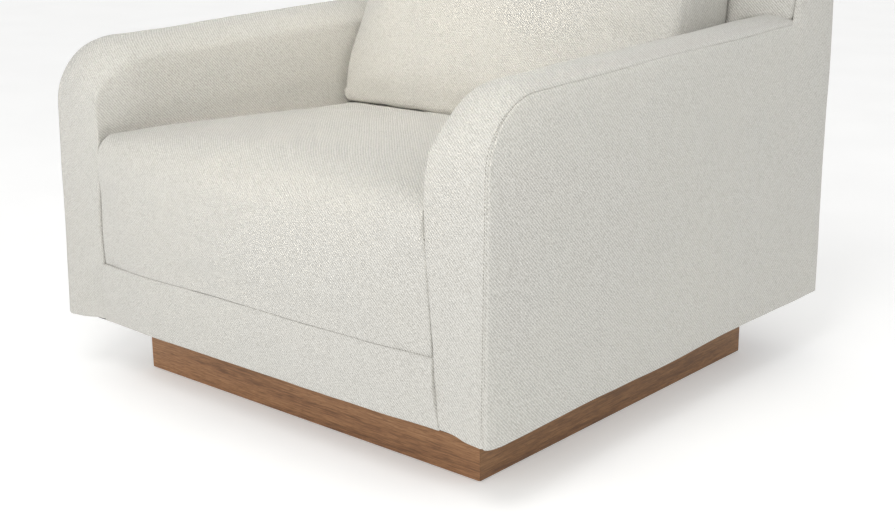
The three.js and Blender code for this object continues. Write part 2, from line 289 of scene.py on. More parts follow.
class Graph:
    """Short calls for building a material's node tree."""

    def __init__(self, name):
        self.material = bpy.data.materials.new(name)
        self.material.use_nodes = True
        self.tree = self.material.node_tree
        self.shader = self.tree.nodes["Principled BSDF"]

    def node(self, kind, inputs=None, **settings):
        made = self.tree.nodes.new(kind)
        for key, value in settings.items():
            setattr(made, key, value)
        for key, value in (inputs or {}).items():
            self.feed(made.inputs[key], value)
        return made

    def feed(self, socket, value):
        if isinstance(value, bpy.types.NodeSocket):
            self.tree.links.new(value, socket)
        else:
            socket.default_value = value

    def math(self, operation, *values):
        made = self.node("ShaderNodeMath", operation=operation)
        for socket, value in zip(made.inputs, values):
            self.feed(socket, value)
        return made.outputs[0]

    def place(self, scale=(1, 1, 1), move=(0, 0, 0)):
        coordinates = self.node("ShaderNodeTexCoord").outputs["Object"]
        return self.node(
            "ShaderNodeMapping", {"Vector": coordinates, "Scale": scale, "Location": move}
        ).outputs[0]

    def noise(self, vector, scale, detail=2.0, roughness=0.5, distortion=0.0):
        inputs = {
            "Vector": vector,
            "Scale": scale,
            "Detail": detail,
            "Roughness": roughness,
            "Distortion": distortion,
        }
        return self.node("ShaderNodeTexNoise", inputs).outputs["Fac"]

    def ramp(self, value, stops):
        made = self.node("ShaderNodeValToRGB", {"Fac": value})
        while len(made.color_ramp.elements) < len(stops):
            made.color_ramp.elements.new(0.5)
        for element, (position, colour) in zip(made.color_ramp.elements, stops):
            element.position = position
            element.color = (*colour, 1)
        return made.outputs["Color"]

    def mix(self, factor, a, b):
        made = self.node("ShaderNodeMix", data_type="RGBA")
        self.feed(made.inputs["Factor"], factor)
        self.feed(made.inputs["A"], a)
        self.feed(made.inputs["B"], b)
        return made.outputs["Result"]

    def bump(self, height, strength, distance):
        inputs = {"Height": height, "Strength": strength, "Distance": distance}
        self.feed(self.shader.inputs["Normal"], self.node("ShaderNodeBump", inputs).outputs["Normal"])

    def finish(self, colour, roughness, **settings):
        self.feed(self.shader.inputs["Base Color"], colour)
        self.feed(self.shader.inputs["Roughness"], roughness)
        for key, value in settings.items():
            self.shader.inputs[key.replace("_", " ")].default_value = value
        return self.material


def linear(red, green, blue):
    """A colour given from 0 to 255 as linear light."""
    return tuple(((value / 255 + 0.055) / 1.055) ** 2.4 for value in (red, green, blue))


def upholstery_material():
    """An ivory twill of uneven, nubby yarn."""
    graph = Graph("upholstery")
    place = graph.place()
    inputs = {"Vector": place, "Scale": 160.0, "Detail": 1.0}
    wobble = graph.node("ShaderNodeTexNoise", inputs).outputs["Color"]
    kind, middle = "ShaderNodeVectorMath", (0.5, 0.5, 0.5)
    shifted = graph.node(kind, {0: wobble, 1: middle}, operation="SUBTRACT").outputs[0]
    scaled = graph.node(kind, {0: shifted, "Scale": 0.0022}, operation="SCALE").outputs[0]
    threads = graph.node(kind, {0: place, 1: scaled}, operation="ADD").outputs[0]
    twill = graph.node(
        "ShaderNodeTexWave",
        {"Vector": threads, "Scale": 112.0, "Distortion": 0.0},
        wave_type="BANDS",
        bands_direction="DIAGONAL",
    ).outputs["Fac"]
    nub = graph.node("ShaderNodeTexVoronoi", {"Vector": threads, "Scale": 330.0}).outputs["Distance"]
    nub = graph.math("SUBTRACT", 1.0, nub)
    slub = graph.noise(place, 90.0, 2.0)
    height = graph.math("MULTIPLY_ADD", twill, 0.55, graph.math("MULTIPLY", nub, 0.65))
    height = graph.math("MULTIPLY_ADD", slub, 0.15, height)
    # Painted shade: the weave's hollows are coloured darker, on top of the yarn's own uneven tone.
    hollow_shade = graph.math("MULTIPLY_ADD", height, 1.1, -0.32)
    patches = graph.noise(place, 9.0, 3.0)
    yarn = graph.mix(hollow_shade, (*linear(180, 178, 172), 1), (*linear(221, 220, 215), 1))
    worn = graph.mix(graph.math("MULTIPLY", patches, 0.22), yarn, (*linear(204, 199, 186), 1))
    graph.bump(height, 0.75, 0.0018)
    return graph.finish(worn, 0.93, Sheen_Weight=0.2, Sheen_Roughness=0.45, Specular_IOR_Level=0.15)


def wood_material(name, grain, dark, middle, light, seed, roughness=0.5):
    """Wood whose grain runs along one axis."""
    graph = Graph(name)
    axis = "XYZ".index(grain)

    def stretched(along, across):
        return [along if k == axis else across for k in range(3)]

    move = (seed * 1.7, seed * 2.3, seed * 3.1)
    broad = graph.noise(graph.place(stretched(1.6, 26), move), 1.0, 5.0, 0.6, 0.8)
    fibre = graph.noise(graph.place(stretched(22, 420), move), 1.0, 3.0, 0.7)
    pores = graph.noise(graph.place(stretched(70, 800), move), 1.0, 1.0, 0.5)
    pore = graph.ramp(pores, [(0.34, (0, 0, 0)), (0.46, (1, 1, 1))])
    tone = graph.math("MULTIPLY_ADD", fibre, 0.62, graph.math("MULTIPLY", broad, 0.4))
    colour = graph.ramp(tone, [(0.36, dark), (0.52, middle), (0.68, light)])
    pore_amount = graph.math("MULTIPLY_ADD", pore, 0.45, 0.55)
    colour = graph.mix(pore_amount, (*dark, 1), colour)
    graph.bump(graph.math("MULTIPLY_ADD", pore, 0.5, fibre), 0.35, 0.0004)
    shine = graph.math("MULTIPLY_ADD", fibre, 0.22, roughness - 0.11)
    return graph.finish(colour, shine, Specular_IOR_Level=0.4)


def plywood_material():
    graph = Graph("plywood")
    place = graph.place()
    layers = graph.node(
        "ShaderNodeTexWave", {"Vector": place, "Scale": 52.0, "Distortion": 0.4}, bands_direction="X"
    ).outputs["Fac"]
    grain = graph.noise(graph.place((240, 240, 6)), 1.0, 3.0, 0.6)
    tone = graph.math("MULTIPLY_ADD", layers, 0.25, graph.math("MULTIPLY", grain, 0.75))
    dark, middle, light = linear(168, 132, 92), linear(206, 174, 132), linear(224, 197, 158)
    colour = graph.ramp(tone, [(0.25, dark), (0.5, middle), (0.8, light)])
    graph.bump(grain, 0.2, 0.0004)
    return graph.finish(colour, 0.75)


def steel_material():
    graph = Graph("spring_steel")
    drawn = graph.noise(graph.place((900, 60, 900)), 1.0, 2.0)
    colour = graph.ramp(drawn, [(0.3, linear(118, 121, 125)), (0.7, linear(176, 179, 182))])
    graph.bump(drawn, 0.1, 0.0001)
    return graph.finish(colour, graph.math("MULTIPLY_ADD", drawn, 0.2, 0.25), Metallic=1.0)


def matted_material(name, dark, light, scale, distance):
    """Felt or non-woven cloth: matted fibres."""
    graph = Graph(name)
    fibres = graph.noise(graph.place(), scale, 5.0, 0.75, 1.5)
    colour = graph.ramp(fibres, [(0.3, dark), (0.7, light)])
    graph.bump(fibres, 0.5, distance)
    return graph.finish(colour, 0.95, Sheen_Weight=0.1)


def webbing_material():
    graph = Graph("webbing")
    place = graph.place()
    waves = [
        graph.node("ShaderNodeTexWave", {"Vector": place, "Scale": scale}, bands_direction=axis)
        for axis, scale in (("Z", 60.0), ("X", 90.0))
    ]
    weft, warp = (wave.outputs["Fac"] for wave in waves)
    weave = graph.math("MULTIPLY", weft, warp)
    colour = graph.ramp(weave, [(0.0, linear(34, 31, 28)), (0.7, linear(92, 86, 78))])
    graph.bump(weave, 0.6, 0.0006)
    return graph.finish(colour, 0.85)


# ---- The frame's places ----

arm_low, arm_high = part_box("arm_front_and_top_right")
panel_low, panel_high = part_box("side_panel_right")
seat_low, seat_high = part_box("seat_cushion")
rail_low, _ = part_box("front_rail_cover")
deck_low, deck_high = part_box("seat_deck_cover")
_, pad_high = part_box("inside_back_pad")
outside_low, outside_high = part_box("outside_back_panel")
rear_cushion_low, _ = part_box("back_cushion")

# The arm's side outline: how far its front leans back over its height, its top's heights, its corner.
ARM_LEAN = 0.012
ARM_CORNER_TOP = 0.5845
ARM_REAR_TOP = 0.616
ARM_CORNER_RADIUS = 0.105
# The inside back's face: where it is at one height, and how far it goes back for each metre up.
BACK_FACE_AT_SEAT = 0.305
BACK_SEAT_LEVEL = 0.437
BACK_SLOPE = 0.194
BACK_FRONT_RADIUS, BACK_REAR_RADIUS = 0.045, 0.034
BODY_BOTTOM = arm_low.z
FRONT, REAR = panel_low.y, panel_high.y
BACK_TOP = panel_high.z
SIDE = panel_high.x
ARM_INNER = arm_low.x

SEAM_X = SIDE - 0.0070  # where the arm's front and top meet the outside panel


def back_face(z):
    """Where the inside back's face is, at a height."""
    return BACK_FACE_AT_SEAT + (z - BACK_SEAT_LEVEL) * BACK_SLOPE


def arm_corners(inset, rear_y, bottom):
    """The arm's side outline, counter-clockwise from the bottom rear, set in from its front and top."""

    def top(y):
        corner_y, rear = FRONT + ARM_LEAN, back_face(ARM_REAR_TOP)
        return ARM_CORNER_TOP + (ARM_REAR_TOP - ARM_CORNER_TOP) * (y - corner_y) / (rear - corner_y)

    def front(z):
        return FRONT + ARM_LEAN * (z - BODY_BOTTOM) / (ARM_CORNER_TOP - BODY_BOTTOM)

    corner_z = ARM_CORNER_TOP - inset
    corner_y = front(corner_z) + inset
    return [
        (rear_y, bottom, 0),
        (rear_y, top(rear_y) - inset, 0),
        (corner_y, top(corner_y) - inset, ARM_CORNER_RADIUS - inset),
        (front(bottom) + inset, bottom, 0),
    ]


# ---- Arms ----

# The inside edge of the arm's front, as (height, X): the front is narrower at the bottom.
FRONT_EDGE = (
    (0.115, 0.3915), (0.145, 0.3878), (0.189, 0.3842), (0.240, 0.3835), (0.276, 0.3822), (0.318, 0.3795),
    (0.346, 0.3768), (0.388, 0.3716), (0.416, 0.3702), (0.443, 0.3698), (0.471, 0.3712), (0.499, 0.3755),
    (0.528, 0.3782),
)


def front_edge(z):
    return np.interp(z, *zip(*FRONT_EDGE))


# How many millimetres the arm's outline stands out, at places from the inside of the arm to the
# seam: at the front's foot, higher up on the front, and on the top.
ARM_ACROSS = (0.374, 0.380, 0.387, 0.394, 0.405, 0.418, 0.432, 0.447, 0.460, 0.472, 0.481, 0.487)
ARM_SWELL_FOOT = (-9.0, -9.0, -8.8, -8.5, -8.2, -7.0, -3.6, -0.4, 1.8, 3.0, 2.6, 0.8)
ARM_SWELL_FRONT = (0.5, 1.0, 1.5, 2.0, 2.8, 3.4, 3.6, 3.4, 3.0, 2.6, 2.0, 0.6)
ARM_SWELL_TOP = (-20.0, -12.0, -6.0, -0.5, 6.5, 11.5, 14.0, 13.5, 11.0, 7.5, 4.5, 1.5)
# The seam allowance shows as a low ridge beside the seam.
RIDGE_HEIGHT, RIDGE_WIDTH, RIDGE_FROM_SEAM = 0.0009, 0.0020, 0.0080
FOOT_TOP, FRONT_FULL = 0.15, 0.33  # the heights between which the foot's swell becomes the front's


def arm_swell(x, outline, normals):
    """How the arm's outline moves at a place across the arm, by its height and which way it faces."""
    on_top = smoothstep(normals[:, 1], 0.12, 0.90)
    on_front = smoothstep(-normals[:, 0], 0.0, 0.6) * (1 - on_top)
    at_foot = smoothstep(outline[:, 0], FRONT + 0.03, FRONT + 0.01)
    ridge = RIDGE_HEIGHT * math.exp(-(((x - (SEAM_X - RIDGE_FROM_SEAM)) / RIDGE_WIDTH) ** 2))
    foot, front, top = (
        np.interp(x, ARM_ACROSS, table) * MILLIMETRE + ridge
        for table in (ARM_SWELL_FOOT, ARM_SWELL_FRONT, ARM_SWELL_TOP)
    )
    if top < 0:  # the inner edge isn't rounded off where it meets the back
        top = top * (1 - smoothstep(outline[:, 0], 0.22, 0.325))
    raised = smoothstep(outline[:, 1], FOOT_TOP, FRONT_FULL)
    moved = normals * (on_top * top + on_front * front * raised)[:, None]
    moved[:, 0] -= at_foot * foot * (1 - raised)
    return moved


# How many millimetres the lower edge of the body's sides hangs down at places from front to rear,
# over what height above the edge that fades out, and over what width it starts.
HEM_Y = (-0.482, -0.468, -0.445, -0.385, -0.220, -0.080, 0.060, 0.200, 0.450)
HEM_DROP = (2.0, 5.5, 7.6, 8.0, 6.2, 5.2, 3.0, 2.0, 0.5)
HEM_HEIGHT = 0.045
HEM_INNER, HEM_OUTER = 0.405, 0.455


def hem_drop(points):
    """How far each point goes down, so that the lower edge sags and its front corner is rounded."""
    near_edge = smoothstep(points[:, 2], BODY_BOTTOM + HEM_HEIGHT, BODY_BOTTOM)
    outside = smoothstep(np.abs(points[:, 0]), HEM_INNER, HEM_OUTER)
    return near_edge * outside * np.interp(points[:, 1], HEM_Y, HEM_DROP) * MILLIMETRE


HEM_RADIUS = 0.003  # of the body's lower edges
ARM_BULGE = 0.004  # how far the padding of the inside bulges over the seat cushion
# How far past the CAD arm the inside may stand: above the seat cushion, and more at the front.
ARM_CLEAR_INSIDE, ARM_CLEAR_FRONT = 0.008, 0.003


def add_arm_cover(name, side):
    """The arm's inside, front and top, in one piece that ends at the outside seam."""
    corners = arm_corners(0, arm_high.y, BODY_BOTTOM)
    corners = [(y, z, max(radius, HEM_RADIUS)) for y, z, radius in corners]
    piece = pillow(
        f"arm_cover_{name}",
        rounded_outline(corners, 0.007),
        (ARM_INNER, SEAM_X),
        (0.0045, 0.004),
        "YZX",
        centre=(0.0, 0.34),
        rings=26,
        walls=36,
        crown=(0, -0.006),
        reach=0.008,
        swell=arm_swell,
    )
    points = points_of(piece.data)
    over_seat = smoothstep(points[:, 2], 0.452, 0.490) * smoothstep(points[:, 2], 0.60, 0.54)
    near_front = smoothstep(points[:, 1], FRONT + 0.10, FRONT + 0.03)
    share = np.clip((SEAM_X - points[:, 0]) / (SEAM_X - ARM_INNER), 0, 1)
    narrowed = (front_edge(points[:, 2]) - ARM_INNER) * near_front
    points[:, 0] += (narrowed - ARM_BULGE * over_seat * (1 - near_front)) * share
    points[:, 0] *= side
    points[:, 2] -= hem_drop(points)
    move_points(piece.data, points)
    recalculate_outside(piece)
    roughen(piece, [(0.16, 0.0014), (0.05, 0.0005)], 11 if side > 0 else 12)
    # Beside the seat cushion the inside stays clear of it.
    points = points_of(piece.data)
    clear = ARM_INNER - ARM_CLEAR_INSIDE * smoothstep(points[:, 2], 0.450, 0.466)
    behind_front = smoothstep(points[:, 1], FRONT + 0.012, FRONT + 0.020)
    clear = clear - ARM_CLEAR_FRONT * (1 - behind_front)
    points[:, 0] = side * np.maximum(points[:, 0] * side, clear)
    move_points(piece.data, points)
    return piece


def side_panel_outline(inset):
    """The outline of the outside panel, from the arm's front to the rear, counter-clockwise."""
    corner = arm_corners(inset, REAR, BODY_BOTTOM)[2]
    return rounded_outline(
        [
            (FRONT + inset, BODY_BOTTOM, HEM_RADIUS),
            (REAR - inset, BODY_BOTTOM, HEM_RADIUS),
            (REAR - inset, BACK_TOP - inset, BACK_REAR_RADIUS - inset),
            (back_face(BACK_TOP) + inset, BACK_TOP - inset, BACK_FRONT_RADIUS - inset),
            (back_face(ARM_REAR_TOP) + inset, ARM_REAR_TOP - inset, 0.012 + inset),
            corner,
        ]
    )


PANEL_INSET = 0.0004  # from the arm's outline to the outside panel's
PANEL_SWELL = 0.003  # at the lower front, where the padding of the arm's front is pulled round


def add_side_panel(name, side):
    """The outside panel of one side, in one piece from the arm's front to the rear."""
    piece = pillow(
        f"arm_outside_{name}",
        side_panel_outline(PANEL_INSET),
        (SEAM_X - 0.003, SIDE - 0.0036),
        (0.002, 0.0026),
        "YZX",
        centre=(0.36, 0.30),
        rings=70,
        walls=4,
        crown=(0, 0.0068),
        reach=0.050,
    )
    points = points_of(piece.data)
    points[:, 0] *= side
    swell = smoothstep(points[:, 1], FRONT + 0.34, FRONT + 0.02) * smoothstep(points[:, 2], 0.42, 0.14)
    outer = smoothstep(np.abs(points[:, 0]), SIDE - 0.006, SIDE + 0.001)
    points[:, 0] += side * PANEL_SWELL * swell * outer
    points[:, 2] -= hem_drop(points)
    move_points(piece.data, points)
    recalculate_outside(piece)
    roughen(piece, [(0.22, 0.0016), (0.07, 0.0005)], 21 if side > 0 else 22)
    return piece


STITCH_LENGTH, STITCH_GAP, STITCH_RADIUS = 0.0032, 0.0016, 0.00042
STITCH_SIDES = 6
# A stitch's thickness along its length, as (place, share of its radius).
STITCH_PROFILE = ((-0.5, 0.25), (-0.36, 0.85), (0.0, 1.0), (0.36, 0.85), (0.5, 0.25))
STITCH_FLATTENED = 0.8
STITCH_INSET = 0.0040  # from the seam to the row of stitches on the arm's cover


def stitch_line(name, path, normals):
    """A row of stitches, each a short rounded thread lying along the path."""
    steps = np.linalg.norm(np.diff(path, axis=0), axis=1)
    travelled = np.concatenate([[0], np.cumsum(steps)])
    length, sides = STITCH_LENGTH, STITCH_SIDES
    starts = np.arange(STITCH_GAP, travelled[-1] - length, length + STITCH_GAP)
    points, faces = [], []
    for start in starts:
        place, way, up = (
            np.array([np.interp(start + shift, travelled, values[:, k]) for k in range(3)])
            for values, shift in ((path, length / 2), (path, length), (normals, length / 2))
        )
        way = way - place
        way /= np.linalg.norm(way)
        up = up - way * (up @ way)
        up /= np.linalg.norm(up)
        across = np.cross(way, up)
        base = len(points)
        for shift, swell in STITCH_PROFILE:
            for k in range(sides):
                angle = 2 * math.pi * k / sides
                ring = across * math.cos(angle) + up * math.sin(angle) * STITCH_FLATTENED
                points.append(place + way * shift * length + ring * STITCH_RADIUS * swell)
        for ring in range(len(STITCH_PROFILE) - 1):
            for k in range(sides):
                a, b = base + ring * sides + k, base + ring * sides + (k + 1) % sides
                faces.append((a, b, b + sides, a + sides))
        faces.append(tuple(base + k for k in range(sides))[::-1])
        faces.append(tuple(base + (len(STITCH_PROFILE) - 1) * sides + k for k in range(sides)))
    return link(name, mesh_from(name, points, faces))


def add_seam_stitches(name, side, cover):
    """The row of stitches beside the outside seam, up the arm's front and back along its top."""
    outline = rounded_outline(arm_corners(0, arm_high.y, BODY_BOTTOM), 0.004)
    rear_top = int(np.argmax(outline[:, 1]))
    # The front's foot is the lowest point, and of those the foremost.
    front_foot = int(np.argmin(outline[:, 0] + 10 * outline[:, 1]))
    path = outline[rear_top:front_foot]
    places, normals = [], []
    for y, z in path[path[:, 1] > BODY_BOTTOM + 0.004]:
        _, place, normal, _ = cover.closest_point_on_mesh((side * (SEAM_X - STITCH_INSET), y, z))
        places.append(place)
        normals.append(normal)
    return stitch_line(f"arm_stitches_{name}", np.array(places), np.array(normals))


# ---- Body pieces between the arms ----

# How far the rail's and the seat cushion's ends curve back to meet the arms' fronts, and how far
# from the middle that starts.
END_RECESS, RECESS_START = 0.0055, 0.26
RAIL_FRONT = 0.0005  # how far it stands out of the CAD rail, before its belly
RAIL_BOTTOM = BODY_BOTTOM - 0.0018
RAIL_DEPTH = 0.045
RAIL_BELLY = 0.0025
RAIL_PAST_EDGE = 0.0008  # how far its ends go past the arms' front edges, into the arms


def add_rail_cover():
    """The upholstered front rail: a padded bar whose ends follow the arms' narrowing fronts."""
    top = deck_high.z
    front_y, rear_y = rail_low.y - RAIL_FRONT, rail_low.y + RAIL_DEPTH
    outline = rounded_outline(
        [
            (front_y, RAIL_BOTTOM, 0.004),
            (rear_y, RAIL_BOTTOM, 0.006),
            (rear_y, top, 0.006),
            (front_y, top, 0.0027),
        ],
        0.004,
    )
    half = ARM_INNER + 0.012
    piece = pillow("front_rail", outline, (-half, half), (0.002, 0.002), "YZX", rings=6, walls=150)
    points = points_of(piece.data)
    reach = (front_edge(points[:, 2]) + RAIL_PAST_EDGE) / half
    points[:, 0] *= 1 + (reach - 1) * smoothstep(np.abs(points[:, 0]), 0.2, 0.37)
    front = smoothstep(points[:, 1], rail_low.y + 0.012, rail_low.y)
    middle = 1 - ((points[:, 2] - (BODY_BOTTOM + top) / 2) / ((top - BODY_BOTTOM) / 2)) ** 2
    points[:, 1] -= front * RAIL_BELLY * np.clip(middle, 0, 1)
    recess = END_RECESS * (1 - 0.6 * smoothstep(points[:, 2], 0.13, 0.18))
    points[:, 1] += front * recess * smoothstep(np.abs(points[:, 0]), RECESS_START, half)
    move_points(piece.data, points)
    recalculate_outside(piece)
    roughen(piece, [(0.13, 0.0005), (0.045, 0.0003)], 31)
    return piece


def add_deck():
    """The padded cloth deck that the seat cushion lies on."""
    front_y, corner = deck_low.y + 0.004, 0.01
    outline = rounded_outline(
        [
            (deck_low.x, front_y, corner),
            (deck_high.x, front_y, corner),
            (deck_high.x, deck_high.y, corner),
            (deck_low.x, deck_high.y, corner),
        ],
        0.014,
    )
    span, edges = (deck_low.z, deck_high.z), (0.003, 0.003)
    piece = pillow("seat_deck", outline, span, edges, "XYZ", rings=24, walls=3)
    recalculate_outside(piece)
    return piece


def add_outside_back():
    """The panel on the back of the chair, between the outside panels and up to the back's roll."""
    half, top, corner = SEAM_X - 0.004, outside_high.z + 0.005, 0.008
    outline = rounded_outline(
        [
            (-half, BODY_BOTTOM, corner),
            (half, BODY_BOTTOM, corner),
            (half, top, corner),
            (-half, top, corner),
        ],
        0.012,
    )
    piece = pillow(
        "back_outside",
        outline,
        (outside_low.y, REAR - 0.0005),
        (0.002, 0.005),
        "XZY",
        rings=30,
        walls=4,
        crown=(0, 0.003),
        reach=0.05,
    )
    recalculate_outside(piece)
    roughen(piece, [(0.2, 0.0015)], 41)
    return piece


def soft_copy(name, node, voxel, smoothing):
    """A rounded copy of a CAD pad."""
    source = frame["nodes"][node]
    piece = link(name, source.data.copy())
    piece.data.materials.clear()
    remesh = piece.modifiers.new("remesh", "REMESH")
    remesh.mode, remesh.voxel_size = "VOXEL", voxel
    smooth = piece.modifiers.new("smooth", "SMOOTH")
    smooth.factor, smooth.iterations = 0.5, smoothing
    apply_modifiers(piece)
    return piece


BACK_ROLL_CROWN = 0.008


def add_inside_back():
    """The inside back and its roll, which widens above the arms to meet the outside panels."""
    piece = soft_copy("back_inside", "inside_back_pad", 0.007, 12)
    points = points_of(piece.data)
    widen = smoothstep(points[:, 2], ARM_REAR_TOP - 0.004, ARM_REAR_TOP + 0.010)
    reach = (SEAM_X - 0.001) / pad_high.x
    points[:, 0] *= 1 + (reach - 1) * widen * smoothstep(np.abs(points[:, 0]), 0.36, 0.46)
    share = points[:, 0] / SEAM_X
    crowned = smoothstep(points[:, 2], outside_high.z + 0.006, pad_high.z) * np.clip(1 - share**4, 0, 1)
    points[:, 2] += BACK_ROLL_CROWN * crowned
    move_points(piece.data, points)
    roughen(piece, [(0.18, 0.0018), (0.06, 0.0005)], 51)
    return piece


# ---- Loose cushions ----

SIMULATED_FRAMES = 20
SIMULATED_VOXEL = 0.012
NEAREST = 6  # how many points of the simulated copy move a point of the cushion
OFF_BACK = 0.0015  # how far the cushions stay in front of the inside back's face


def simulated_push(piece, pressure, cap):
    """The points of a remeshed copy of a closed body, and how pressure moves them as cloth."""
    copy = link(f"{piece.name}_copy", piece.data.copy())
    remesh = copy.modifiers.new("remesh", "REMESH")
    remesh.mode, remesh.voxel_size = "VOXEL", SIMULATED_VOXEL
    apply_modifiers(copy)
    before = points_of(copy.data)
    cloth = copy.modifiers.new("cloth", "CLOTH")
    cloth.settings.use_pressure = True
    cloth.settings.uniform_pressure_force = pressure
    cloth.settings.effector_weights.gravity = 0
    cloth.point_cache.frame_start, cloth.point_cache.frame_end = 1, SIMULATED_FRAMES
    for number in range(1, SIMULATED_FRAMES + 1):
        bpy.context.scene.frame_set(number)
    apply_modifiers(copy)
    bpy.context.scene.frame_set(1)
    moved = points_of(copy.data) - before
    distance = np.linalg.norm(moved, axis=1)[:, None]
    bpy.data.objects.remove(copy)
    return before, moved * np.minimum(1, cap / np.maximum(distance, 1e-9))


def puff(piece, pressure, cap, free, limits):
    """Puffs a cushion up by cloth simulation, as far as its points are free, within its limits."""
    before, moved = simulated_push(piece, pressure, cap)
    tree = KDTree(len(before))
    for index, point in enumerate(before.tolist()):
        tree.insert(point, index)
    tree.balance()
    points = points_of(piece.data)
    push = np.empty_like(points)
    for index, point in enumerate(points.tolist()):
        near = tree.find_n(point, NEAREST)
        weights = np.array([1 / (distance + SIMULATED_VOXEL / 4) for _, _, distance in near])
        push[index] = weights @ moved[[at for _, at, _ in near]] / weights.sum()
    move_points(piece.data, points + push * free[:, None])
    move_points(piece.data, limits(points_of(piece.data)))


SEAT_TOP_FRONT, SEAT_TOP_REAR = 0.448, 0.430
SEAT_NOSE = 0.036  # the radius of its top front edge
# The seat's top edge beside the arms: Y, and millimetres above the line from its front to its rear.
SEAT_EDGE_Y = (-0.482, -0.400, -0.312, -0.251, -0.167, -0.093, -0.016, 0.065, 0.106, 0.300)
SEAT_EDGE_RISE = (-2.0, 0.0, 0.0, -0.9, -3.1, -4.8, -7.0, -6.5, -5.5, -3.0)
SEAT_CROWN = 0.003  # before the cushion is puffed up
SEAT_BELLY = 0.002  # of its front, also before
SEAT_PRESSED = 0.0018  # how far its weight flattens the underside onto the deck and the rail
SEAT_FRONT_LIMIT = 0.0075  # how far the puffed front may stand out of the CAD cushion
SEAT_PRESSURE, SEAT_CAP = 0.22, 0.022


def add_seat_cushion():
    """The loose seat cushion, with a soft front whose ends follow the arms' narrowing fronts."""
    bottom, rear, half = seat_low.z, seat_high.y, seat_high.x
    outline = rounded_outline(
        [
            (seat_low.y - 0.0005, bottom, 0.0034),
            (back_face(bottom) - OFF_BACK, bottom, 0.018),
            (back_face(SEAT_TOP_REAR) - OFF_BACK, SEAT_TOP_REAR, 0.025),
            (seat_low.y - 0.004, SEAT_TOP_FRONT, SEAT_NOSE),
        ],
        0.009,
    )
    span, edges = (-half, half), (0.0035, 0.0035)
    piece = pillow("seat_cushion_cover", outline, span, edges, "YZX", rings=14, walls=84)
    points = points_of(piece.data)
    share = points[:, 0] / half
    across = np.clip(1 - np.abs(share) ** 2.6, 0, 1)
    depth = (points[:, 1] - seat_low.y) / (rear - seat_low.y)
    along = np.clip(1 - np.abs(2 * depth - 1) ** 3, 0, 1)
    top = smoothstep(points[:, 2], 0.36, 0.44)
    edge_rise = np.interp(points[:, 1], SEAT_EDGE_Y, SEAT_EDGE_RISE) * MILLIMETRE
    points[:, 2] += top * (edge_rise + SEAT_CROWN * across * (0.35 + 0.65 * along))
    front = smoothstep(points[:, 1], seat_low.y + 0.06, seat_low.y)
    height = (points[:, 2] - bottom) / (SEAT_TOP_FRONT - bottom)
    belly = np.clip(1 - np.abs(2 * height - 0.95) ** 2.2, 0, 1)
    points[:, 1] -= SEAT_BELLY * front * belly * (0.4 + 0.6 * across)
    recess = (END_RECESS + 0.001) * (1 - 0.7 * smoothstep(points[:, 2], 0.355, 0.385))
    points[:, 1] += recess * front * smoothstep(np.abs(points[:, 0]), RECESS_START, half)
    # The front swells sideways to the arms' narrowing fronts, with a narrow gap lower down.
    touching = 0.0006 - 0.0032 * smoothstep(points[:, 2], 0.372, 0.335)
    reach = (front_edge(points[:, 2]) + touching) / half
    outwards = smoothstep(np.abs(points[:, 0]), half - 0.09, half - 0.012)
    between_fronts = smoothstep(points[:, 1], seat_low.y + 0.045, seat_low.y + 0.015)
    points[:, 0] *= 1 + (reach - 1) * outwards * between_fronts
    move_points(piece.data, points)
    recalculate_outside(piece)
    roughen(piece, [(0.2, 0.0014), (0.07, 0.0006)], 61)
    widest = np.maximum(np.abs(points_of(piece.data)[:, 0]), half)
    free = smoothstep(points_of(piece.data)[:, 2], bottom + 0.008, bottom + 0.09)

    def limits(points):
        points[:, 0] = np.clip(points[:, 0], -widest, widest)
        rearmost = back_face(points[:, 2]) - OFF_BACK
        points[:, 1] = np.clip(points[:, 1], seat_low.y - SEAT_FRONT_LIMIT, rearmost)
        under_back = rear_cushion_low.z + 0.0010 + 0.05 * smoothstep(points[:, 1], 0.10, -0.02)
        pressed = SEAT_PRESSED * smoothstep(points[:, 2], bottom + 0.030, bottom + 0.005)
        points[:, 2] = np.clip(points[:, 2] - pressed, bottom, under_back)
        return points

    puff(piece, SEAT_PRESSURE, SEAT_CAP, free, limits)
    return piece


BACK_CUSHION_TOP, BACK_CUSHION_HALF = 0.785, 0.3645
BACK_CUSHION_FRONT, BACK_CUSHION_FRONT_TOP = 0.0945, 0.206  # the Y of its front, below and above
BACK_CUSHION_CROWN = 0.008  # before the cushion is puffed up
BACK_CUSHION_BELLY = 0.011  # how far its lower front sags forwards
BACK_CUSHION_BELLY_HEIGHT, BACK_CUSHION_BELLY_REACH = 0.075, 0.060
BACK_CUSHION_SIDE_LIMIT = 0.0015  # how far the puffed sides may go out
BACK_CUSHION_PRESSURE, BACK_CUSHION_CAP = 0.4, 0.026


